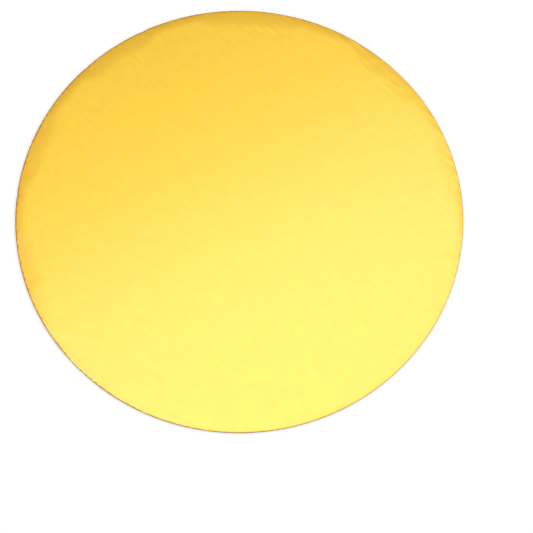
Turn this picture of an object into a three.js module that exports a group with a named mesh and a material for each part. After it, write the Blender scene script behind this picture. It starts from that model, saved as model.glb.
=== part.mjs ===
// Round corrugated cake board with a gold foil face.
// Millimetres, +Z up. The origin is the centre of the underside and the flutes run along Y.
// The plies, from the bottom: a kraft base liner, the fluted medium, a kraft face liner
// and the gold foil paper. A die cuts the round and presses its rim down a little.

import * as THREE from "three";
import { mergeVertices } from "three/addons/utils/BufferGeometryUtils.js";

// Board
const BOARD_DIAMETER = 203.2;

// Plies
const BASE_LINER_THICKNESS = 0.2;
const FACE_LINER_THICKNESS = 0.2;
const FOIL_THICKNESS = 0.1;
const GLUE_FILM = 0.01;

// Fluted medium: its paper, and the wave that the paper is pressed into
const MEDIUM_THICKNESS = 0.16;
const FLUTE_PITCH = 3.41;
const FLUTE_HEIGHT = 1.15; // over the outside of the medium, trough to crest
const FLUTE_TIP_RADIUS = 0.45; // of the medium's middle line
const GLUE_LAND = 0.3; // flat of each tip, pressed against its liner

// Rim that the cutting die presses down
const RIM_WIDTH = 6.0;
const RIM_DROP = 0.35;

// Fineness of the faceted curves
const OUTLINE_FACETS = 180;
const TIP_FACETS = 1; // on each side of a tip's land

// Levels and radii that follow from the dimensions above
const BOARD_RADIUS = BOARD_DIAMETER / 2;
const RIM_INNER_RADIUS = BOARD_RADIUS - RIM_WIDTH;
const FLUTE_SPACE_BOTTOM = BASE_LINER_THICKNESS;
const FLUTE_SPACE = GLUE_FILM + FLUTE_HEIGHT + GLUE_FILM;
const FACE_LINER_BOTTOM = FLUTE_SPACE_BOTTOM + FLUTE_SPACE;
const FOIL_BOTTOM = FACE_LINER_BOTTOM + FACE_LINER_THICKNESS + GLUE_FILM;

const RIGHT_ANGLE = Math.PI / 2;

/** How far the upper plies have sunk at a distance from the middle of the board. */
function rimSink(radius) {
  const intoRim = THREE.MathUtils.clamp((radius - RIM_INNER_RADIUS) / RIM_WIDTH, 0, 1);
  return RIM_DROP * intoRim;
}

/** Half the length of a line along Y that crosses a circle at x. */
function halfChord(radius, x) {
  return Math.sqrt(Math.max(0, radius * radius - x * x));
}

/** A flat liner: a plain disc. */
function flatDisc(bottom, thickness) {
  const top = bottom + thickness;
  const section = [
    new THREE.Vector2(0, bottom),
    new THREE.Vector2(BOARD_RADIUS, bottom),
    new THREE.Vector2(BOARD_RADIUS, top),
    new THREE.Vector2(0, top),
  ];
  return revolve(section);
}

/** A ply above the flutes: a disc whose rim slopes down to the cut edge at its full thickness. */
function sunkRimDisc(bottom, thickness) {
  const top = bottom + thickness;
  const edgeDrop = rimSink(BOARD_RADIUS);
  const section = [
    new THREE.Vector2(0, bottom),
    new THREE.Vector2(RIM_INNER_RADIUS, bottom),
    new THREE.Vector2(BOARD_RADIUS, bottom - edgeDrop),
    new THREE.Vector2(BOARD_RADIUS, top - edgeDrop),
    new THREE.Vector2(RIM_INNER_RADIUS, top),
    new THREE.Vector2(0, top),
  ];
  return revolve(section);
}

/** Turns a section, drawn as radius and height, about the Z axis. */
function revolve(section) {
  const geometry = new THREE.LatheGeometry(section, OUTLINE_FACETS);
  geometry.rotateX(RIGHT_ANGLE);
  return closedBody(geometry);
}

/**
 * The slope of the flanks between the tips. Half a pitch is a half land, a tip arc, a straight
 * flank, a tip arc and a half land, and its fall is the height of the medium's middle line.
 */
function flankAngle() {
  const run = FLUTE_PITCH / 2 - GLUE_LAND;
  const fall = FLUTE_HEIGHT - MEDIUM_THICKNESS;
  const fallPastTips = fall - 2 * FLUTE_TIP_RADIUS;
  const reach = Math.hypot(run, fallPastTips);
  return Math.atan2(fallPastTips, run) + Math.asin((2 * FLUTE_TIP_RADIUS) / reach);
}

/** One face of the medium as a line from -X to +X: side is 1 for its upper face, -1 for its lower. */
function mediumFace(side) {
  const angle = flankAngle();
  const halfLand = GLUE_LAND / 2;
  const crestRadius = FLUTE_TIP_RADIUS + (side * MEDIUM_THICKNESS) / 2;
  const troughRadius = FLUTE_TIP_RADIUS - (side * MEDIUM_THICKNESS) / 2;
  const bottom = FLUTE_SPACE_BOTTOM + GLUE_FILM;
  const crestCentre = bottom + FLUTE_HEIGHT - MEDIUM_THICKNESS / 2 - FLUTE_TIP_RADIUS;
  const troughCentre = bottom + MEDIUM_THICKNESS / 2 + FLUTE_TIP_RADIUS;
  const up = RIGHT_ANGLE;
  const down = 3 * RIGHT_ANGLE;
  const flutesEachSide = Math.ceil(BOARD_RADIUS / FLUTE_PITCH);

  const line = new THREE.Path();
  for (let flute = -flutesEachSide; flute <= flutesEachSide; flute += 1) {
    const crest = flute * FLUTE_PITCH;
    const trough = crest + FLUTE_PITCH / 2;
    line.absarc(crest - halfLand, crestCentre, crestRadius, up + angle, up, true);
    line.absarc(crest + halfLand, crestCentre, crestRadius, up, up - angle, true);
    line.absarc(trough - halfLand, troughCentre, troughRadius, down - angle, down, false);
    line.absarc(trough + halfLand, troughCentre, troughRadius, down, down + angle, false);
  }
  return line.getPoints(TIP_FACETS / 2);
}

/** Keeps the part of a line between -limit and +limit, with new end points on the limits. */
function trimmed(points, limit) {
  const kept = points.filter((point) => Math.abs(point.x) < limit);
  const first = points.indexOf(kept[0]);
  const last = points.indexOf(kept[kept.length - 1]);
  return [
    pointAt(-limit, points[first - 1], points[first]),
    ...kept,
    pointAt(limit, points[last], points[last + 1]),
  ];
}

/** The point at x on the straight line through two points. */
function pointAt(x, before, after) {
  const share = (x - before.x) / (after.x - before.x);
  return before.clone().lerp(after, share);
}

/**
 * The fluted medium. Its wave is extruded in three runs: the rim, the middle of the board and
 * the rim again. Each end of a run is then moved along Y onto its circle, and lowered as
 * much as the rim has sunk there, which squashes the flutes towards the base liner.
 */
function flutedMedium() {
  const widest = BOARD_RADIUS * Math.cos(Math.PI / OUTLINE_FACETS);
  const upper = trimmed(mediumFace(1), widest);
  const lower = trimmed(mediumFace(-1), widest);
  const wave = new THREE.Shape([...lower, ...upper.reverse()]);
  const runEnds = [BOARD_RADIUS, RIM_INNER_RADIUS, -RIM_INNER_RADIUS, -BOARD_RADIUS];
  const runs = runEnds.length - 1;
  const geometry = new THREE.ExtrudeGeometry(wave, {
    depth: runs,
    steps: runs,
    bevelEnabled: false,
  });

  const position = geometry.getAttribute("position");
  for (let i = 0; i < position.count; i += 1) {
    const x = position.getX(i);
    const height = position.getY(i) - FLUTE_SPACE_BOTTOM;
    const runEnd = runEnds[Math.round(position.getZ(i))];
    const y = Math.sign(runEnd) * halfChord(Math.abs(runEnd), x);
    const squash = 1 - rimSink(Math.hypot(x, y)) / FLUTE_SPACE;
    position.setXYZ(i, x, y, FLUTE_SPACE_BOTTOM + height * squash);
  }
  return closedBody(geometry);
}

/** Joins equal vertices and drops the triangles that have no area. */
function closedBody(geometry) {
  geometry.deleteAttribute("normal");
  geometry.deleteAttribute("uv");
  const merged = mergeVertices(geometry);
  const corners = merged.getIndex().array;
  const kept = [];
  for (let i = 0; i < corners.length; i += 3) {
    const [a, b, c] = corners.slice(i, i + 3);
    if (a !== b && b !== c && c !== a) kept.push(a, b, c);
  }
  merged.setIndex(kept);
  merged.computeVertexNormals();
  return merged;
}

const GOLD_FOIL = { color: 0xf2c84b, metalness: 1, roughness: 0.32 };
const KRAFT_LINER = { color: 0xb98a55, metalness: 0, roughness: 0.9 };
const KRAFT_MEDIUM = { color: 0xa9793f, metalness: 0, roughness: 0.95 };

function ply(name, geometry, finish) {
  const material = new THREE.MeshStandardMaterial({ ...finish, flatShading: true });
  const mesh = new THREE.Mesh(geometry, material);
  mesh.name = name;
  return mesh;
}

const cakeBoard = new THREE.Group();
cakeBoard.add(ply("base_liner", flatDisc(0, BASE_LINER_THICKNESS), KRAFT_LINER));
cakeBoard.add(ply("fluted_medium", flutedMedium(), KRAFT_MEDIUM));
cakeBoard.add(ply("face_liner", sunkRimDisc(FACE_LINER_BOTTOM, FACE_LINER_THICKNESS), KRAFT_LINER));
cakeBoard.add(ply("gold_foil", sunkRimDisc(FOIL_BOTTOM, FOIL_THICKNESS), GOLD_FOIL));

export default cakeBoard;
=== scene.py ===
import math

import bpy
import numpy as np
from bpy.props import FloatProperty, FloatVectorProperty, PointerProperty
from mathutils import Matrix, Vector


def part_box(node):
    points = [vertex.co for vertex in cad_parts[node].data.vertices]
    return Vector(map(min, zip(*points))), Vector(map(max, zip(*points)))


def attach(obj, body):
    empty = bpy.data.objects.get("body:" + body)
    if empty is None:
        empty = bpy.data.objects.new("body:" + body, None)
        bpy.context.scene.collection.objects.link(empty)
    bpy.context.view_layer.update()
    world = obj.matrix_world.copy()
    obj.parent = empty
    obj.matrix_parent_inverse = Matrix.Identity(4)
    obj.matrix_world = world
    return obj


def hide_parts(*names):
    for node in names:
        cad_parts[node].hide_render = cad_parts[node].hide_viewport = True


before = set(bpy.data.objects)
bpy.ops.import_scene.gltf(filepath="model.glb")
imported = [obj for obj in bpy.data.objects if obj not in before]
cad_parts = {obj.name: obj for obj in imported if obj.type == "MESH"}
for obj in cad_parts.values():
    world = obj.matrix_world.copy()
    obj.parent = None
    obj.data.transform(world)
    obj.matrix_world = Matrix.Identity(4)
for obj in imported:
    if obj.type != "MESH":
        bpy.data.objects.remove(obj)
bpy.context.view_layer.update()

# A round corrugated cake board with a gold foil face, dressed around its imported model.
# Lengths are in metres, in the board's own frame: the underside's centre is the origin, the
# flutes run along Y, and the gold face looks up.

bl_info = {
    "name": "Cake board",
    "version": (1, 0, 0),
    "blender": (4, 5, 0),
    "location": "3D View > Sidebar > Cake Board",
    "description": "Makes the plies of a gold foil cake board, and a studio for it",
    "category": "Add Mesh",
}

MM = 0.001

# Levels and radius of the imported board
BOARD_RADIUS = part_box("gold_foil")[1][0]
FACE_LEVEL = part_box("gold_foil")[1][2]
FACE_LINER_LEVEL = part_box("face_liner")[1][2]
MEDIUM_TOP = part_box("fluted_medium")[1][2]
MEDIUM_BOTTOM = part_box("fluted_medium")[0][2]
BASE_LINER_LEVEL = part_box("base_liner")[1][2]

# Torn spots of the cut edge: angle from +X in degrees, half width and depth
TEAR_ANGLES = (131.6, 72.4, 91.0, -57.7)
TEAR_HALF_WIDTHS = (0.45 * MM, 0.9 * MM, 0.8 * MM, 0.9 * MM)
TEAR_DEPTHS = (0.55 * MM, 0.3 * MM, 0.3 * MM, 0.35 * MM)

# How ragged each ply's cut edge is, and how far the medium's ends stand back from the foil's
FOIL_RAGGEDNESS = 0.012 * MM
FACE_LINER_RAGGEDNESS = 0.02 * MM
BASE_LINER_RAGGEDNESS = 0.015 * MM
MEDIUM_RAGGEDNESS = 0.03 * MM
MEDIUM_RECESS = 0.10 * MM

# How far the medium leans at its cut ends, over what length, and the size of the lean's waves
LEAN = 0.10 * MM
LEAN_REACH = 2.5 * MM
LEAN_WAVES = 5 * MM

# Pads of the die that press the rim: angle from +X and half width in degrees, and how many
# half widths from its middle a pad's press ends
PAD_ANGLES = (0, 42, 81.5, 118, 150, 181, 212, 236, 261, 296, 328)
PAD_HALF_WIDTHS = (8, 9, 7, 6.5, 4.5, 6, 5.5, 5, 5.5, 6.5, 6)
PAD_REACH = 11 / 6

# Rim: how much its width wavers, the power of its fall between the pads, how much less that
# is under a pad, and how much deeper a pad presses it
RIM_WAVER = 0.06
FALL_POWER = 1.9
PAD_POWER_LESS = 0.5
PAD_DROP = 0.10 * MM

# Washboard: the size of its patches, and how much it grows towards the rim, between two
# shares of the board's radius
WASHBOARD_PATCHES = 26 * MM
WASHBOARD_GROWTH = 1.7
GROWTH_START = 0.78
GROWTH_END = 0.94

# Dips between the flutes at their cut ends: how deep, and how far in they reach
END_DIP = 0.045 * MM
END_DIP_REACH = 2.2 * MM

# Soft crease near the rim at +X: its x, its middle's y, and how far from there it starts to
# fade and ends, as shares of the board's radius; then the slope past it, how softly that
# starts, and the groove along it
CREASE_X = 0.905
CREASE_MIDDLE = 0.04
CREASE_FADE = 0.12
CREASE_END = 0.24
CREASE_SLOPE = 0.012
CREASE_SOFTNESS = 1.0 * MM
GROOVE_DEPTH = 0.018 * MM
GROOVE_HALF_WIDTH = 1.7 * MM

# Cockle of the whole face, and rise of the underside under the flutes' crests
COCKLE_DEPTH = 0.010 * MM
COCKLE_WAVES = 60 * MM
UNDERSIDE_RISE = 0.014 * MM
UNDERSIDE_PATCHES = 34 * MM

# Painted shade and highlight on the foil's rim: how far clockwise of +Y the painted shade's side
# lies and of -Y the painted highlight's side, and the painted highlight's band width
PAINTED_SHADE_TURN = math.radians(5)
PAINTED_HIGHLIGHT_TURN = math.radians(35)
PAINTED_HIGHLIGHT_BAND = 2.2 * MM

# Crushed foil at the cut edge, with painted shade: its least width, how much wider the painted
# shade makes it, and how far anticlockwise of +Y it is widest
WORN_WIDTH = 0.05 * MM
RIM_SHADE_WIDENING = 0.53 * MM
RIM_SHADE_TURN = math.radians(10)

# Foil: index of its lacquer, and the shares of the gold's red, green and blue that are left
# where shade is painted on the rim
LACQUER_INDEX = 1.77
SHADED_GOLD_SHARES = (0.97, 0.88, 0.6)

# Photograph: its side and focal length in pixels, and the sensor's width in millimetres
PHOTO_SIDE = 533
PHOTO_FOCAL_PIXELS = 1000
SENSOR_WIDTH = 36.0

# Point of the face that the camera looks at
AIM = (-11.46 * MM, -27.99 * MM, FACE_LEVEL)

# Level direction away from the camera
FAR_SIDE = (0.6995, 0.7147, 0)

# Direction of the dome's bright side: overhead, towards the camera and its right
BRIGHT_SIDE = (-0.0663, -0.4263, 0.9027)

# Level of the light from under the floor, and the softbox's height and its turn about Z
UNDER_LEVEL = 0.9
SOFTBOX_HEIGHT = 1.0
SOFTBOX_TURN = math.radians(-18)

# Floor's side and level, and the length of ray under which it is clear
FLOOR_SIDE = 3.0
FLOOR_LEVEL = -0.03 * MM
CLOSE_BY = 0.2 * MM

# Glow of the floor to the camera, growing between two distances from the board's middle
GLOW_START = 0.2
GLOW_END = 0.8
GLOW_NEAR = 0.12
GLOW_FAR = 0.7

# Grids: the ring at the rim, its rows as insets from the cut edge, and the columns and rows
# of the disc inside it
RING_WIDTH = 8 * MM
FINE_INSETS = np.array([0, 0.04, 0.1, 0.18, 0.28, 0.4, 0.55, 0.8, 1.1, 1.5, 2.0, 2.5, 3.0, 3.6,
                        4.2, 4.9, 5.6, 6.4, 7.2, 8.0]) * MM
PLAIN_INSETS = np.array([0, 0.18, 0.4, 0.8, 2.0, 3.6, 5.6, 8.0]) * MM
MEDIUM_INSETS = np.array([0, 0.25, 0.7, 1.5, 3.0, 5.5]) * MM
COLUMNS = 460
FACE_ROWS = 130
UNDERSIDE_ROWS = 60
HIDDEN_ROWS = 2

# Points nearer than this are one
WELD = 1e-7


class CakeBoardSizes(bpy.types.PropertyGroup):
    """Sizes of the plies and of their pressed rim."""

    flute_pitch: FloatProperty(
        name="Flute pitch", description="From one flute to the next",
        default=3.41 * MM, unit="LENGTH", precision=5)
    tip_radius: FloatProperty(
        name="Tip radius", description="Radius of the medium's middle line at its tips",
        default=0.45 * MM, unit="LENGTH", precision=5)
    glue_land: FloatProperty(
        name="Glue land", description="Flat of each tip against its liner",
        default=0.3 * MM, unit="LENGTH", precision=5)
    medium_thickness: FloatProperty(
        name="Medium", description="Thickness of the fluted paper",
        default=0.16 * MM, unit="LENGTH", precision=5)
    liner_thickness: FloatProperty(
        name="Liners", description="Thickness of each kraft liner",
        default=0.2 * MM, unit="LENGTH", precision=5)
    foil_thickness: FloatProperty(
        name="Foil", description="Thickness of the foil paper",
        default=0.1 * MM, unit="LENGTH", precision=5)
    rim_width: FloatProperty(
        name="Rim width", description="Ring that the cutting die presses down",
        default=5.5 * MM, unit="LENGTH", precision=5)
    pad_width: FloatProperty(
        name="Pad width", description="How much wider the rim is where the die's pads press it",
        default=3.2 * MM, unit="LENGTH", precision=5)
    rim_drop: FloatProperty(
        name="Rim drop", description="How far the face sinks towards the cut edge",
        default=0.33 * MM, unit="LENGTH", precision=5)
    edge_roll: FloatProperty(
        name="Edge roll", description="Width of the foil that the knife rolls over the edge",
        default=0.45 * MM, unit="LENGTH", precision=5)
    edge_roll_drop: FloatProperty(
        name="Edge roll drop", description="Height of the rolled edge",
        default=0.16 * MM, unit="LENGTH", precision=5)
    washboard: FloatProperty(
        name="Washboard", description="Depth of the face between the flutes",
        default=0.006 * MM, unit="LENGTH", precision=6)


class CakeBoardFinish(bpy.types.PropertyGroup):
    """Colours and gloss of the foil and the kraft paper."""

    gold: FloatVectorProperty(
        name="Gold", description="Colour of the foil", subtype="COLOR",
        default=(0.98, 0.64, 0.002), min=0, max=1)
    foil_roughness: FloatProperty(
        name="Foil roughness", description="Roughness of the foil", default=0.57, min=0, max=1)
    lacquer: FloatProperty(
        name="Lacquer", description="Strength of the clear lacquer", default=1.0, min=0, max=1)
    lacquer_roughness: FloatProperty(
        name="Lacquer roughness", description="Roughness of the lacquer",
        default=0.26, min=0, max=1)
    # Painted highlight: the paler gold painted on the rim's -X and -Y side
    highlight_gold: FloatVectorProperty(
        name="Rubbed gold", description="Colour of the foil that the die has rubbed pale",
        subtype="COLOR", default=(0.97, 0.64, 0.03), min=0, max=1)
    # Dark gold of the crushed foil at the cut edge, also painted shade where that band widens
    # towards +Y
    worn_gold_and_shade: FloatVectorProperty(
        name="Worn gold", description="Colour of the crushed foil at the cut edge",
        subtype="COLOR", default=(0.60, 0.25, 0.006), min=0, max=1)
    kraft: FloatVectorProperty(
        name="Kraft", description="Colour of the kraft liners", subtype="COLOR",
        default=(0.40, 0.235, 0.115), min=0, max=1)
    kraft_medium: FloatVectorProperty(
        name="Kraft medium", description="Colour of the fluted paper", subtype="COLOR",
        default=(0.33, 0.19, 0.09), min=0, max=1)


class CakeBoardStage(bpy.types.PropertyGroup):
    """Light and camera."""

    dome_level: FloatProperty(
        name="Dome", description="Level of the surrounding light's bright side",
        default=0.94, min=0)
    dome_dark: FloatProperty(
        name="Dome, dark side", description="Level of the dome's dark side",
        default=0.28, min=0)
    dome_start: FloatProperty(
        name="Dome start", description="Where the dark side ends: a cosine to the bright side",
        default=0.335, min=0, max=0.9)
    dome_end: FloatProperty(
        name="Dome end", description="Where the full level starts: a cosine to the bright side",
        default=0.69, min=0, max=1)
    softbox_power: FloatProperty(
        name="Softbox", description="Power of the large lamp overhead", subtype="POWER",
        default=3.85, min=0)
    softbox_length: FloatProperty(
        name="Softbox length", description="Long side of the lamp",
        default=1.1, unit="LENGTH", min=0.01)
    softbox_width: FloatProperty(
        name="Softbox width", description="Short side of the lamp",
        default=0.6, unit="LENGTH", min=0.01)
    softbox_far: FloatProperty(
        name="Softbox away", description="How far the lamp hangs beyond the board's middle",
        default=0.07, unit="LENGTH")
    softbox_right: FloatProperty(
        name="Softbox right", description="How far the lamp hangs to the right",
        default=0.05, unit="LENGTH")
    camera_distance: FloatProperty(
        name="Camera distance", description="From the middle of the gold face",
        default=0.4551, unit="LENGTH", min=0.01)
    camera_azimuth: FloatProperty(
        name="Camera azimuth", description="Where the camera stands: 0 looks along +Y",
        default=math.radians(-44.385), subtype="ANGLE")
    camera_elevation: FloatProperty(
        name="Camera elevation", description="Height of the camera as an angle",
        default=math.radians(69.829), subtype="ANGLE")
    camera_roll: FloatProperty(
        name="Camera roll", description="Turn of the camera about its own axis",
        default=math.radians(4.243), subtype="ANGLE")


# Numbers spread evenly or by chance

def grain(x, y, wavelength, seed, waves=28):
    """A smooth random field of unit spread.

    It is a sum of plane waves with random directions and phases, all near one wavelength.
    """
    chance = np.random.default_rng(seed)
    total = np.zeros(np.broadcast(x, y).shape)
    for _ in range(waves):
        heading = chance.uniform(0, 2 * math.pi)
        number = 2 * math.pi / (wavelength * chance.uniform(0.75, 1.4))
        phase = chance.uniform(0, 2 * math.pi)
        total += np.cos(number * (x * math.cos(heading) + y * math.sin(heading)) + phase)
    return total * math.sqrt(2 / waves)


def round_grain(angle, lobes, seed, waves=14):
    """A random field of unit spread round the rim.

    It is a sum of cosines with random phases and whole numbers of lobes near the given one.
    """
    chance = np.random.default_rng(seed)
    total = np.zeros(np.shape(angle))
    for _ in range(waves):
        number = int(round(lobes * chance.uniform(0.5, 1.6))) or 1
        total += np.cos(number * angle + chance.uniform(0, 2 * math.pi))
    return total * math.sqrt(2 / waves)


def smooth_step(value, low, high):
    """Rises smoothly from 0 to 1 as the value goes from low to high, which may be the lesser."""
    held = np.clip((value - low) / (high - low), 0, 1)
    return held * held * (3 - 2 * held)


def patches(x, y, size, contrast, most, seed):
    """A factor of about 0.8 that varies in patches of one size, held from 0.1 to a most."""
    return np.clip(0.8 + contrast * grain(x, y, size, seed), 0.1, most)


def turn_from(angle, degrees):
    """The turn of an angle from a direction in degrees, between half a turn either way."""
    return np.angle(np.exp(1j * (angle - math.radians(degrees))))


# The board's form

def cut_radius(angle):
    """Radius of the cut edge at an angle.

    It is the round, less a bell-shaped notch at each torn spot and a fine raggedness.
    """
    ragged = np.clip(round_grain(angle, lobes=260, seed=5), -1, 1)
    radius = BOARD_RADIUS - FOIL_RAGGEDNESS * (1 + ragged)
    for centre, half_width, depth in zip(TEAR_ANGLES, TEAR_HALF_WIDTHS, TEAR_DEPTHS):
        from_tear = turn_from(angle, centre) * BOARD_RADIUS
        radius = radius - depth * np.exp(-(from_tear / half_width) ** 2)
    return radius


def inset_at(x, y, angle):
    """How far a point lies inside the cut edge."""
    return np.clip(cut_radius(angle) - np.hypot(x, y), 0, None)


def under_pad(angle):
    """How fully a pad of the die lies on the rim: 1 under it, falling to 0 past its ends."""
    most = np.zeros(np.shape(angle))
    for centre, half_width in zip(PAD_ANGLES, PAD_HALF_WIDTHS):
        turn = np.abs(turn_from(angle, centre)) / math.radians(half_width)
        most = np.maximum(most, smooth_step(turn, PAD_REACH, 1))
    return most


def sunk(x, y, sizes):
    """How far the face lies under its flat level at a point.

    The rim's fall is a power of the way into the rim: nearly straight where a pad of the die has
    pressed it wider and deeper, and curved between the pads. A quarter ellipse rolls the last of
    it over the edge. Between the flutes the face dips as a cosine of the flute pitch, in patches
    that deepen towards the rim, and once more at the flutes' cut ends. Past a soft crease along
    the flutes, on the +X side, the board bends down a little, and a bell-shaped groove follows
    the crease. The whole face has long, faint waves.
    """
    radius = np.hypot(x, y)
    angle = np.arctan2(y, x)
    inset = inset_at(x, y, angle)

    pad = under_pad(angle)
    waver = 1 + RIM_WAVER * round_grain(angle, lobes=24, seed=11)
    width = sizes.rim_width * waver + sizes.pad_width * pad
    into_rim = np.clip(1 - inset / width, 0, 1)
    drop = sizes.rim_drop + PAD_DROP * pad
    fall = drop * into_rim ** (FALL_POWER - PAD_POWER_LESS * pad)

    into_roll = np.clip(1 - inset / sizes.edge_roll, 0, 1)
    roll = sizes.edge_roll_drop * (1 - np.sqrt(1 - into_roll ** 2))

    between = (1 - np.cos(2 * math.pi * x / sizes.flute_pitch)) / 2
    patchy = patches(x, y, WASHBOARD_PATCHES, contrast=0.9, most=3, seed=21)
    outward = smooth_step(radius / BOARD_RADIUS, GROWTH_START, GROWTH_END)
    growth = 1 + WASHBOARD_GROWTH * outward
    dip = sizes.washboard * patchy * growth * between
    end_dip = END_DIP * between * smooth_step(inset, END_DIP_REACH, 0)

    past_crease = x - CREASE_X * BOARD_RADIUS
    off_middle = np.abs(y / BOARD_RADIUS - CREASE_MIDDLE)
    reach = smooth_step(off_middle, CREASE_END, CREASE_FADE)
    softened = CREASE_SOFTNESS * np.logaddexp(0, past_crease / CREASE_SOFTNESS)
    bend = CREASE_SLOPE * softened * reach
    groove = GROOVE_DEPTH * np.exp(-(past_crease / GROOVE_HALF_WIDTH) ** 2) * reach

    waves = 1 + grain(x, y, COCKLE_WAVES, seed=31) / 3
    cockle = np.clip(COCKLE_DEPTH * waves, 0, None)
    return fall + roll + dip + end_dip + bend + groove + cockle


def pressed(x, y, sizes):
    """Painted light and shade on the foil at a point, growing from 0 inside the rim to its edge.

    Towards +Y it is positive and painted shade darkens the gold, in a wide band, wider under a
    pad. Towards -X and -Y it is negative and a painted highlight pales the gold, in a narrow band
    that falls off as an exponential.
    """
    angle = np.arctan2(y, x)
    inset = inset_at(x, y, angle)
    width = sizes.rim_width + sizes.pad_width * under_pad(angle)
    # Painted shade lies on the +Y side and a painted highlight on the -X and -Y side
    shade_side = smooth_step(np.sin(angle + PAINTED_SHADE_TURN), -0.1, 0.6)
    highlight_side = smooth_step(-np.sin(angle + PAINTED_HIGHLIGHT_TURN), 0.1, 0.6)
    dark = shade_side * smooth_step(inset / width, 1, 1 / 3)
    pale = highlight_side * np.exp(-inset / PAINTED_HIGHLIGHT_BAND)
    return dark - pale


def worn_and_rim_shade(x, y):
    """How far the foil is crushed at a point of the rim, with painted shade along the edge.

    It is whole at the very edge and fades out past a band of less than a millimetre. The band
    widens with the sine of the angle towards +Y, where the added width is painted shade, and
    wavers.
    """
    angle = np.arctan2(y, x)
    inset = inset_at(x, y, angle)
    # The band widens towards +Y as painted shade
    shade_widening = 0.5 + 0.5 * np.sin(angle - RIM_SHADE_TURN)
    width = WORN_WIDTH + RIM_SHADE_WIDENING * shade_widening
    fine = 0.22 * round_grain(angle, lobes=180, seed=15)
    coarse = 0.16 * round_grain(angle, lobes=30, seed=16)
    width = width * (1 + fine + coarse)
    return smooth_step(inset / np.maximum(width, 0.1 * MM), 1.6, 0.6)


# Meshes from grids

def grid_triangles(grid, start, flip):
    """Two triangles for each cell of a grid of points, numbered from start row by row."""
    rows, columns = grid.shape[:2]
    corner = start + (np.arange(rows - 1)[:, None] * columns + np.arange(columns - 1)).ravel()
    across = corner + 1
    along = corner + columns
    opposite = along + 1
    first = np.stack([corner, across, opposite], axis=1)
    second = np.stack([corner, opposite, along], axis=1)
    triangles = np.concatenate([first, second])
    return triangles[:, ::-1] if flip else triangles


def closed_mesh(name, grids, sharp_angle=40):
    """One closed mesh from pairs of a grid and whether it is flipped.

    Equal points are joined and triangles without area dropped. A point's first three numbers
    are its place, then its worn edge with painted shade, and the painted light and shade on the
    rim.
    """
    numbers = np.concatenate([grid.reshape(-1, 5) for grid, _ in grids])
    points = numbers[:, :3]
    triangles = []
    start = 0
    for grid, flip in grids:
        triangles.append(grid_triangles(grid, start, flip))
        start += grid.shape[0] * grid.shape[1]
    triangles = np.concatenate(triangles)

    places = np.round(points / WELD).astype(np.int64)
    _, first, number = np.unique(places, axis=0, return_index=True, return_inverse=True)
    triangles = number.ravel()[triangles]
    a, b, c = triangles.T
    triangles = triangles[(a != b) & (b != c) & (c != a)]

    mesh = bpy.data.meshes.new(name)
    mesh.from_pydata(points[first], [], triangles)
    # The worn edge with its painted shade, and the painted light and shade on the rim
    for column, mark in ((3, "bare"), (4, "pressed")):
        attribute = mesh.attributes.new(mark, "FLOAT", "POINT")
        attribute.data.foreach_set("value", numbers[first, column])
    mesh.polygons.foreach_set("use_smooth", np.ones(len(triangles), dtype=bool))
    mesh.set_sharp_from_angle(angle=math.radians(sharp_angle))
    mesh.validate()
    mesh.update()
    piece = bpy.data.objects.new(name, mesh)
    bpy.context.scene.collection.objects.link(piece)
    return piece


def disc_points(columns, rows, radius):
    """Points of a disc.

    Each column lies along Y and ends on the circle, at equal steps of the circle's angle, and
    the rows share it evenly.
    """
    angle = np.linspace(math.pi, 0, columns + 1)
    share = np.linspace(-1, 1, rows + 1)[:, None]
    x = np.broadcast_to(radius * np.cos(angle), (rows + 1, columns + 1))
    return x, share * radius * np.sin(angle)


def ring_points(columns, insets, inner_radius, edge):
    """Points of the ring round that disc, out to the cut edge.

    An inset of 0 lies on the edge and the last one on the disc.
    """
    angle = np.linspace(0, 2 * math.pi, 2 * columns + 1)
    angle[-1] = 0
    outward = 1 - insets[:, None] / insets[-1]
    radius = inner_radius + (edge(angle) - inner_radius) * outward
    return radius * np.cos(angle), radius * np.sin(angle)


def edge_only(x, y):
    """Marks a ring's outermost points alone as its edge, and paints no light or shade on the rim.
    """
    bare = np.zeros_like(x)
    bare[0] = 1
    return bare, np.zeros_like(x)


def ply_surface(height, rows, insets, edge=cut_radius, marks=edge_only):
    """A ply's surface as two grids, the disc and the ring round it.

    height gives z at x and y, and marks the ring's worn edge with painted shade, and its painted
    light and shade.
    """
    inner = BOARD_RADIUS - RING_WIDTH
    x, y = disc_points(COLUMNS, rows, inner)
    disc = np.stack([x, y, height(x, y), np.zeros_like(x), np.zeros_like(x)], axis=-1)
    x, y = ring_points(COLUMNS, insets, inner, edge)
    ring = np.stack([x, y, height(x, y), *marks(x, y)], axis=-1)
    return disc, ring


def ply(name, upper, lower):
    """A closed ply between two surfaces, each a disc and a ring, with its cut edge as a wall."""
    upper_disc, upper_ring = upper
    lower_disc, lower_ring = lower
    wall = np.stack([upper_ring[0], lower_ring[0]])
    return closed_mesh(name, [
        (upper_disc, False), (upper_ring, False),
        (lower_disc, True), (lower_ring, True),
        (wall, True),
    ])


def finished(piece, node, material):
    """Rides a piece on the board in place of a node and material."""
    piece.data.materials.append(material)
    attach(piece, "root")
    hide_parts(node)


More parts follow.
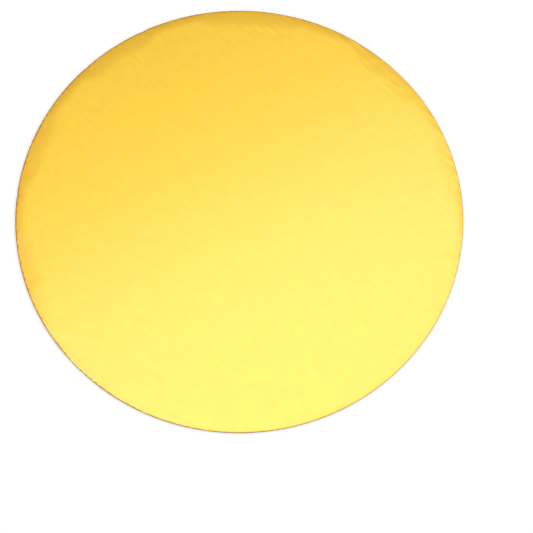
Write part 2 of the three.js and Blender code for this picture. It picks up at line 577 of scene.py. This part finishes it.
def medium_line(side, sizes, tip_steps=5):
    """One face of the medium from -X to +X as x and z.

    Round tips with flat lands are joined by straight flanks. side is 1 for the upper face and
    -1 for the lower.
    """
    height = MEDIUM_TOP - MEDIUM_BOTTOM
    run = sizes.flute_pitch / 2 - sizes.glue_land
    past_tips = height - sizes.medium_thickness - 2 * sizes.tip_radius
    reach = math.hypot(run, past_tips)
    flank = math.atan2(past_tips, run) + math.asin(2 * sizes.tip_radius / reach)
    crest_radius = sizes.tip_radius + side * sizes.medium_thickness / 2
    trough_radius = sizes.tip_radius - side * sizes.medium_thickness / 2
    middle = sizes.tip_radius + sizes.medium_thickness / 2
    crest_z = MEDIUM_TOP - middle
    trough_z = MEDIUM_BOTTOM + middle

    rise = np.linspace(-flank, 0, tip_steps)
    half_land = sizes.glue_land / 2
    half_pitch = sizes.flute_pitch / 2
    crest_x = np.concatenate([crest_radius * np.sin(rise) - half_land,
                              half_land - crest_radius * np.sin(rise[::-1])])
    trough_x = np.concatenate([trough_radius * np.sin(rise) - half_land,
                               half_land - trough_radius * np.sin(rise[::-1])])
    arc = np.concatenate([np.cos(rise), np.cos(rise[::-1])])
    x = np.concatenate([crest_x, half_pitch + trough_x])
    z = np.concatenate([crest_z + crest_radius * arc, trough_z - trough_radius * arc])

    flutes = math.ceil(BOARD_RADIUS / sizes.flute_pitch)
    crests = np.arange(-flutes, flutes + 1) * sizes.flute_pitch
    return (crests[:, None] + x).ravel(), np.tile(z, len(crests))


# Materials

def shader_tree(name):
    """A new material, its node tree and its main shader."""
    material = bpy.data.materials.new(name)
    material.use_nodes = True
    tree = material.node_tree
    return material, tree, tree.nodes["Principled BSDF"]


def add_node(tree, kind, **settings):
    """A node with settings, each named for a property or, after an underscore, a socket."""
    node = tree.nodes.new(kind)
    for key, value in settings.items():
        if key.startswith("_"):
            node.inputs[key[1:].replace("_", " ")].default_value = value
        else:
            setattr(node, key, value)
    return node


def place(tree, stretch=(1, 1, 1), turn=0.0):
    """Object coordinates, stretched and turned about Z."""
    coordinates = add_node(tree, "ShaderNodeTexCoord")
    mapping = add_node(tree, "ShaderNodeMapping", _Scale=stretch, _Rotation=(0, 0, turn))
    tree.links.new(coordinates.outputs["Object"], mapping.inputs["Vector"])
    return mapping.outputs["Vector"]


def mark_at(tree, name):
    """A mark that the mesh carries at its points."""
    return add_node(tree, "ShaderNodeAttribute", attribute_name=name).outputs["Fac"]


def noise(tree, vector, wavelength, detail=2.0, roughness=0.5):
    """Noise with features about one wavelength across, in metres."""
    node = add_node(tree, "ShaderNodeTexNoise", _Scale=1 / wavelength, _Detail=detail,
                    _Roughness=roughness)
    tree.links.new(vector, node.inputs["Vector"])
    return node.outputs["Fac"]


def spread(tree, value, low, high, to_low=0.0, to_high=1.0):
    """Maps a value from one range to another, held at both ends."""
    node = add_node(tree, "ShaderNodeMapRange")
    for socket, number in zip(("From Min", "From Max", "To Min", "To Max"),
                              (low, high, to_low, to_high)):
        node.inputs[socket].default_value = number
    tree.links.new(value, node.inputs["Value"])
    return node.outputs["Result"]


def evened(tree, noise_value, to_low=0.0, to_high=1.0):
    """Maps the middle of a noise's range, where most of it lies, to another range."""
    return spread(tree, noise_value, 0.3, 0.7, to_low, to_high)


def combined(tree, operation, first, second):
    """Two values put together by an operation, such as MULTIPLY."""
    node = add_node(tree, "ShaderNodeMath", operation=operation)
    tree.links.new(first, node.inputs[0])
    tree.links.new(second, node.inputs[1])
    return node.outputs["Value"]


def mix(tree, share, first, second):
    """Mixes two colours, each a socket or three numbers."""
    node = add_node(tree, "ShaderNodeMix", data_type="RGBA")
    for socket, value in ((0, share), (6, first), (7, second)):
        if isinstance(value, bpy.types.NodeSocket):
            tree.links.new(value, node.inputs[socket])
        else:
            node.inputs[socket].default_value = (*value, 1.0)
    return node.outputs[2]


def bump(tree, height, distance, strength=1.0, below=None):
    """A bump of one distance, over another bump if one is given."""
    node = add_node(tree, "ShaderNodeBump", _Strength=strength, _Distance=distance)
    tree.links.new(height, node.inputs["Height"])
    if below is not None:
        tree.links.new(below, node.inputs["Normal"])
    return node.outputs["Normal"]


def tinted(colour, factor):
    """A colour times a factor, for the light and dark of a finish."""
    return tuple(min(1.0, channel * factor) for channel in colour)


def foil_material(finish):
    """Metallised gold paper under a clear lacquer, and crushed paper with painted shade at its cut
    edge.

    The gold has faint mottling, streaks along the flutes and the paper's fibres. Painted shade
    darkens it in blotches on the rim's +Y side, and a painted highlight pales it on the -X and -Y
    side.
    """
    material, tree, shader = shader_tree("gold_foil_paper")
    at = place(tree)
    # Marks from the mesh: the worn edge with its painted shade, and the rim's painted light and
    # shade
    cut = mark_at(tree, "bare")
    rim_light_and_shade = mark_at(tree, "pressed")

    mottle = evened(tree, noise(tree, at, 7 * MM, detail=4.0, roughness=0.65))
    mottled = mix(tree, mottle, tinted(finish.gold, 0.975), tinted(finish.gold, 1.03))
    streaks = noise(tree, place(tree, stretch=(1, 0.25, 1)), 1.7 * MM)
    gold = mix(tree, evened(tree, streaks), mottled, tinted(finish.gold, 0.945))

    # Painted shade in blotches on the rim's +Y side, then a painted highlight on its -X and -Y side
    blotches = evened(tree, noise(tree, at, 3.5 * MM, detail=3.0), 0.7, 1.0)
    deep = tuple(channel * share for channel, share in zip(finish.gold, SHADED_GOLD_SHARES))
    darker = mix(tree, combined(tree, "MULTIPLY", rim_light_and_shade, blotches), gold, deep)
    highlight_share = spread(tree, rim_light_and_shade, -1.0, 0.0, 1.0, 0.0)
    shaded = mix(tree, highlight_share, darker, tuple(finish.highlight_gold))
    # Worn edge colour, with painted shade where the band widens towards +Y
    colour = mix(tree, cut, shaded, tuple(finish.worn_gold_and_shade))
    tree.links.new(colour, shader.inputs["Base Color"])

    metal = spread(tree, cut, 0.0, 1.0, 1.0, 0.55)
    tree.links.new(metal, shader.inputs["Metallic"])
    wear = noise(tree, at, 2.4 * MM, detail=3.0)
    rough = evened(tree, wear, finish.foil_roughness - 0.02, finish.foil_roughness + 0.02)
    tree.links.new(rough, shader.inputs["Roughness"])
    left_lacquer = spread(tree, cut, 0.0, 1.0, finish.lacquer, 0.1)
    tree.links.new(left_lacquer, shader.inputs["Coat Weight"])
    shader.inputs["Coat Roughness"].default_value = finish.lacquer_roughness
    shader.inputs["Coat IOR"].default_value = LACQUER_INDEX

    fibres = noise(tree, at, 0.45 * MM, detail=3.0, roughness=0.6)
    fine = bump(tree, fibres, 0.002 * MM, strength=0.6)
    lined = bump(tree, streaks, 0.025 * MM, below=fine)
    cockled = bump(tree, noise(tree, at, 5.0 * MM), 0.06 * MM, below=lined)
    tree.links.new(cockled, shader.inputs["Normal"])
    tree.links.new(cockled, shader.inputs["Coat Normal"])
    return material


def kraft_material(name, colour):
    """Kraft paper: fibres both ways, cloudy tones, dark flecks and a fibrous, darker cut edge."""
    material, tree, shader = shader_tree(name)
    along_at = place(tree, stretch=(1, 0.16, 1), turn=0.10)
    across_at = place(tree, stretch=(0.25, 1, 1), turn=-0.35)
    fleck_at = place(tree, stretch=(1, 0.5, 1), turn=0.8)
    along = noise(tree, along_at, 0.22 * MM, detail=4.0, roughness=0.65)
    across = noise(tree, across_at, 0.28 * MM, detail=3.0, roughness=0.6)
    cloud = noise(tree, place(tree), 7 * MM, detail=3.0)
    fleck = noise(tree, fleck_at, 0.5 * MM, detail=1.0)

    fibrous = mix(tree, spread(tree, along, 0.35, 0.68), tinted(colour, 0.84),
                  tinted(colour, 1.13))
    crossed = mix(tree, spread(tree, across, 0.4, 0.72, 0.0, 0.55), fibrous,
                  tinted(colour, 0.90))
    cloudy = mix(tree, spread(tree, cloud, 0.35, 0.7, 0.0, 0.35), crossed,
                 tinted(colour, 1.10))
    flecked = mix(tree, spread(tree, fleck, 0.70, 0.76), cloudy, tinted(colour, 0.62))
    edge = mix(tree, evened(tree, along), tinted(colour, 0.70), tinted(colour, 1.0))
    whole = mix(tree, mark_at(tree, "bare"), flecked, edge)
    tree.links.new(whole, shader.inputs["Base Color"])
    shader.inputs["Roughness"].default_value = 0.88
    shader.inputs["Specular IOR Level"].default_value = 0.25

    raised = bump(tree, along, 0.02 * MM, strength=0.6)
    crossing = bump(tree, across, 0.015 * MM, strength=0.5, below=raised)
    tree.links.new(crossing, shader.inputs["Normal"])
    return material


# Operators

class CAKEBOARD_OT_gold_foil(bpy.types.Operator):
    """Make the gold foil paper: the board's face, with its pressed rim and rolled edge."""

    bl_idname = "cake_board.gold_foil"
    bl_label = "Gold foil"

    def execute(self, context):
        """The upper surface is the face's level less what it has sunk.

        The lower surface lies the foil's thickness under it.
        """
        sizes = context.scene.cake_board_sizes
        finish = context.scene.cake_board_finish

        def top(x, y):
            return FACE_LEVEL - sunk(x, y, sizes)

        def underside(x, y):
            return top(x, y) - sizes.foil_thickness

        def marks(x, y):
            return worn_and_rim_shade(x, y), pressed(x, y, sizes)

        upper = ply_surface(top, FACE_ROWS, FINE_INSETS, marks=marks)
        lower = ply_surface(underside, HIDDEN_ROWS, PLAIN_INSETS)
        piece = ply("foil_face", upper, lower)
        finished(piece, "gold_foil", foil_material(finish))
        return {"FINISHED"}


class CAKEBOARD_OT_face_liner(bpy.types.Operator):
    """Make the kraft liner under the foil."""

    bl_idname = "cake_board.face_liner"
    bl_label = "Face liner"

    def execute(self, context):
        """Both surfaces follow the foil's face; the cut edge stands back a hair from the foil's."""
        sizes = context.scene.cake_board_sizes
        finish = context.scene.cake_board_finish

        def edge(angle):
            ragged = 1.5 + round_grain(angle, lobes=320, seed=41)
            return cut_radius(angle) - FACE_LINER_RAGGEDNESS * ragged

        def top(x, y):
            return FACE_LINER_LEVEL - sunk(x, y, sizes)

        def underside(x, y):
            return top(x, y) - sizes.liner_thickness

        upper = ply_surface(top, HIDDEN_ROWS, PLAIN_INSETS, edge)
        lower = ply_surface(underside, HIDDEN_ROWS, PLAIN_INSETS, edge)
        piece = ply("kraft_face_liner", upper, lower)
        paper = kraft_material("kraft_liner_paper", finish.kraft)
        finished(piece, "face_liner", paper)
        return {"FINISHED"}


class CAKEBOARD_OT_base_liner(bpy.types.Operator):
    """Make the kraft liner of the underside."""

    bl_idname = "cake_board.base_liner"
    bl_label = "Base liner"

    def execute(self, context):
        """The underside rises a little under the flutes' crests, as a cosine of their pitch."""
        sizes = context.scene.cake_board_sizes
        finish = context.scene.cake_board_finish

        def edge(angle):
            ragged = 1.3 + round_grain(angle, lobes=300, seed=42)
            return cut_radius(angle) - BASE_LINER_RAGGEDNESS * ragged

        def top(x, y):
            return np.full(np.shape(x), BASE_LINER_LEVEL)

        def underside(x, y):
            over_crest = (1 + np.cos(2 * math.pi * x / sizes.flute_pitch)) / 2
            patchy = patches(x, y, UNDERSIDE_PATCHES, contrast=0.5, most=2, seed=51)
            return UNDERSIDE_RISE * patchy * over_crest

        upper = ply_surface(top, HIDDEN_ROWS, PLAIN_INSETS, edge)
        lower = ply_surface(underside, UNDERSIDE_ROWS, PLAIN_INSETS, edge)
        piece = ply("kraft_base_liner", upper, lower)
        paper = kraft_material("kraft_base_paper", finish.kraft)
        finished(piece, "base_liner", paper)
        return {"FINISHED"}


class CAKEBOARD_OT_fluted_medium(bpy.types.Operator):
    """Make the fluted medium between the liners."""

    bl_idname = "cake_board.fluted_medium"
    bl_label = "Fluted medium"

    def execute(self, context):
        """The medium's line is carried along Y between circles, and squashed under the rim."""
        sizes = context.scene.cake_board_sizes
        finish = context.scene.cake_board_finish
        end_radius = BOARD_RADIUS - MEDIUM_RECESS
        widest = end_radius - MEDIUM_RECESS
        radii = np.concatenate([end_radius - MEDIUM_INSETS, MEDIUM_INSETS[::-1] - end_radius])

        def carried(side):
            line = self.trimmed(*medium_line(side, sizes), widest)
            x, z = (np.broadcast_to(part, (len(radii), len(part))) for part in line)
            y = self.chord_ends(x, radii)
            return self.squashed(x, y, z, sizes)

        top = carried(1)
        bottom = carried(-1)
        piece = closed_mesh("kraft_flutes", [
            (top, True),
            (bottom, False),
            (np.stack([top[0], bottom[0]]), False),
            (np.stack([top[-1], bottom[-1]]), True),
            (np.stack([top[:, 0], bottom[:, 0]]), True),
            (np.stack([top[:, -1], bottom[:, -1]]), False),
        ])
        paper = kraft_material("kraft_medium_paper", finish.kraft_medium)
        finished(piece, "fluted_medium", paper)
        return {"FINISHED"}

    @staticmethod
    def trimmed(x, z, limit):
        """The line between -limit and +limit, with new ends there."""
        inside = np.abs(x) < limit
        ends = np.array([-limit, limit])
        end_z = np.interp(ends, x, z)
        return (np.concatenate([ends[:1], x[inside], ends[1:]]),
                np.concatenate([end_z[:1], z[inside], end_z[1:]]))

    @staticmethod
    def chord_ends(x, radii):
        """Where a line along Y at x meets each circle; a negative radius gives the far end.

        The ends on the outermost circle are ragged, but for those too near the X axis.
        """
        side = np.sign(radii)[:, None]
        reach = np.sqrt(np.clip(radii[:, None] ** 2 - x ** 2, 0, None))
        angle = np.arctan2(reach, x)
        ragged = MEDIUM_RAGGEDNESS * round_grain(side * angle, lobes=300, seed=61)
        at_end = np.abs(radii)[:, None] >= np.abs(radii).max() - WELD
        reach = np.where(at_end & (reach > 1 * MM), reach + ragged, reach)
        return side * reach

    @staticmethod
    def squashed(x, y, z, sizes):
        """Points of the medium, lowered in proportion to the face above them.

        Near the cut ends the middle of its height leans a little to either side.
        """
        space = FACE_LINER_LEVEL - sizes.liner_thickness - BASE_LINER_LEVEL
        depth = sunk(x, y, sizes)
        inset = BOARD_RADIUS - np.hypot(x, y)
        lean = LEAN * grain(x, y, LEAN_WAVES, seed=71) * smooth_step(inset, LEAN_REACH, 0)
        share = (z - BASE_LINER_LEVEL) / space
        leaned = x + lean * np.clip(share, 0, 1) * np.clip(1 - share, 0, 1) * 4
        at_end = np.zeros_like(x)
        at_end[[0, -1]] = 1
        level = BASE_LINER_LEVEL + share * (space - depth)
        return np.stack([leaned, y, level, at_end, np.zeros_like(x)], axis=-1)


class CAKEBOARD_OT_stage(bpy.types.Operator):
    """Make the floor, the studio light and the camera."""

    bl_idname = "cake_board.stage"
    bl_label = "Stage"

    def execute(self, context):
        """A dome of soft light, one softbox, a white floor and the photograph's view."""
        stage = context.scene.cake_board_stage
        self.floor()
        self.dome(context.scene, stage)
        self.softbox(stage)
        self.camera(context.scene, stage)
        context.scene.view_settings.view_transform = "Standard"
        return {"FINISHED"}

    @staticmethod
    def floor():
        """A level square, just under the board.

        To the camera it glows a little near the board and white far from it. It is clear from
        below, and to the light that the board's underside gathers: rays that meet it within a
        fraction of a millimetre.
        """
        corners = np.array([(-1, -1), (1, -1), (1, 1), (-1, 1)]) * FLOOR_SIDE / 2
        mesh = bpy.data.meshes.new("floor")
        mesh.from_pydata([(x, y, FLOOR_LEVEL) for x, y in corners], [], [(0, 1, 2, 3)])
        mesh.update()
        floor = bpy.data.objects.new("floor", mesh)
        bpy.context.scene.collection.objects.link(floor)

        material, tree, shader = shader_tree("white_floor")
        shader.inputs["Base Color"].default_value = (0.9, 0.9, 0.9, 1)
        shader.inputs["Roughness"].default_value = 0.9
        shader.inputs["Specular IOR Level"].default_value = 0.0
        path = add_node(tree, "ShaderNodeLightPath").outputs
        distance = add_node(tree, "ShaderNodeVectorMath", operation="LENGTH")
        tree.links.new(place(tree), distance.inputs[0])
        glow = spread(tree, distance.outputs["Value"], GLOW_START, GLOW_END, GLOW_NEAR, GLOW_FAR)
        lift = combined(tree, "MULTIPLY", path["Is Camera Ray"], glow)
        shader.inputs["Emission Color"].default_value = (1, 1, 1, 1)
        tree.links.new(lift, shader.inputs["Emission Strength"])

        below = add_node(tree, "ShaderNodeNewGeometry").outputs["Backfacing"]
        near = spread(tree, path["Ray Length"], CLOSE_BY, 1.01 * CLOSE_BY, 1.0, 0.0)
        clear = combined(tree, "MAXIMUM", below, near)
        tree.links.new(spread(tree, clear, 0.0, 1.0, 1.0, 0.0), shader.inputs["Alpha"])
        mesh.materials.append(material)

    @staticmethod
    def part_along(tree, direction, axis):
        """The part of a direction along an axis."""
        node = add_node(tree, "ShaderNodeVectorMath", operation="DOT_PRODUCT")
        node.inputs[1].default_value = axis
        tree.links.new(direction, node.inputs[0])
        return node.outputs["Value"]

    def dome(self, scene, stage):
        """World light: one level round the bright side, falling evenly to the dark one.

        Another level comes from under the floor. To the camera the world is plain white.
        """
        world = bpy.data.worlds.new("studio_dome")
        scene.world = world
        world.use_nodes = True
        tree = world.node_tree
        background = tree.nodes["Background"]
        background.inputs["Color"].default_value = (1, 1, 1, 1)
        direction = add_node(tree, "ShaderNodeTexCoord").outputs["Generated"]
        towards = self.part_along(tree, direction, BRIGHT_SIDE)
        level = spread(tree, towards, stage.dome_start, stage.dome_end, stage.dome_dark,
                       stage.dome_level)
        upward = self.part_along(tree, direction, (0, 0, 1))
        under = spread(tree, upward, -0.3, -0.05, UNDER_LEVEL, 0.0)
        seen = add_node(tree, "ShaderNodeLightPath").outputs["Is Camera Ray"]
        strength = add_node(tree, "ShaderNodeMix", data_type="FLOAT")
        tree.links.new(seen, strength.inputs[0])
        tree.links.new(combined(tree, "MAXIMUM", level, under), strength.inputs[2])
        strength.inputs[3].default_value = 1.0
        tree.links.new(strength.outputs[0], background.inputs["Strength"])

    @staticmethod
    def softbox(stage):
        """A long lamp overhead, its long side across the photograph's view."""
        light = bpy.data.lights.new("softbox", "AREA")
        light.shape = "RECTANGLE"
        light.size = stage.softbox_length
        light.size_y = stage.softbox_width
        light.energy = stage.softbox_power
        lamp = bpy.data.objects.new("softbox", light)
        to_right = Vector((FAR_SIDE[1], -FAR_SIDE[0], 0))
        lamp.location = (Vector(FAR_SIDE) * stage.softbox_far + to_right * stage.softbox_right
                         + Vector((0, 0, SOFTBOX_HEIGHT)))
        lamp.rotation_euler = (0, 0, SOFTBOX_TURN)
        bpy.context.scene.collection.objects.link(lamp)

    @staticmethod
    def camera(scene, stage):
        """The photograph's camera.

        It stands on a sphere round the gold face's middle, looks at a point of the face off
        that middle, and is rolled a little.
        """
        azimuth = stage.camera_azimuth
        elevation = stage.camera_elevation
        back = Vector((math.sin(azimuth) * math.cos(elevation),
                       -math.cos(azimuth) * math.cos(elevation), math.sin(elevation)))
        data = bpy.data.cameras.new("camera")
        data.sensor_width = SENSOR_WIDTH
        data.lens = SENSOR_WIDTH * PHOTO_FOCAL_PIXELS / PHOTO_SIDE
        camera = bpy.data.objects.new("camera", data)
        camera.location = Vector((0, 0, FACE_LEVEL)) + back * stage.camera_distance
        look = (Vector(AIM) - camera.location).to_track_quat("-Z", "Y").to_matrix()
        roll = Matrix.Rotation(stage.camera_roll, 3, "Z")
        camera.rotation_euler = (look @ roll).to_euler()
        scene.collection.objects.link(camera)
        scene.camera = camera


class CAKEBOARD_PT_panel(bpy.types.Panel):
    """The board's sizes, finishes, light, camera and pieces, in the sidebar."""

    bl_idname = "CAKEBOARD_PT_panel"
    bl_label = "Cake Board"
    bl_space_type = "VIEW_3D"
    bl_region_type = "UI"
    bl_category = "Cake Board"

    def draw(self, context):
        """Lists every property and operator."""
        for name in GROUPS:
            group = getattr(context.scene, name)
            box = self.layout.box()
            for key in group.__annotations__:
                box.prop(group, key)
        for operator in OPERATORS:
            self.layout.operator(operator.bl_idname)


GROUPS = {
    "cake_board_sizes": CakeBoardSizes,
    "cake_board_finish": CakeBoardFinish,
    "cake_board_stage": CakeBoardStage,
}
OPERATORS = (
    CAKEBOARD_OT_stage,
    CAKEBOARD_OT_base_liner,
    CAKEBOARD_OT_fluted_medium,
    CAKEBOARD_OT_face_liner,
    CAKEBOARD_OT_gold_foil,
)


def register():
    """Registers the classes and hangs each group of properties on the scene."""
    for made in (*GROUPS.values(), *OPERATORS, CAKEBOARD_PT_panel):
        bpy.utils.register_class(made)
    for name, group in GROUPS.items():
        setattr(bpy.types.Scene, name, PointerProperty(type=group))


def unregister():
    """Takes all of it back."""
    for name in GROUPS:
        delattr(bpy.types.Scene, name)
    for made in reversed((*GROUPS.values(), *OPERATORS, CAKEBOARD_PT_panel)):
        bpy.utils.unregister_class(made)


def main():
    """Makes the stage and the four plies."""
    register()
    bpy.ops.cake_board.stage()
    bpy.ops.cake_board.base_liner()
    bpy.ops.cake_board.fluted_medium()
    bpy.ops.cake_board.face_liner()
    bpy.ops.cake_board.gold_foil()
    bpy.context.view_layer.update()


if __name__ == "__main__":
    main()
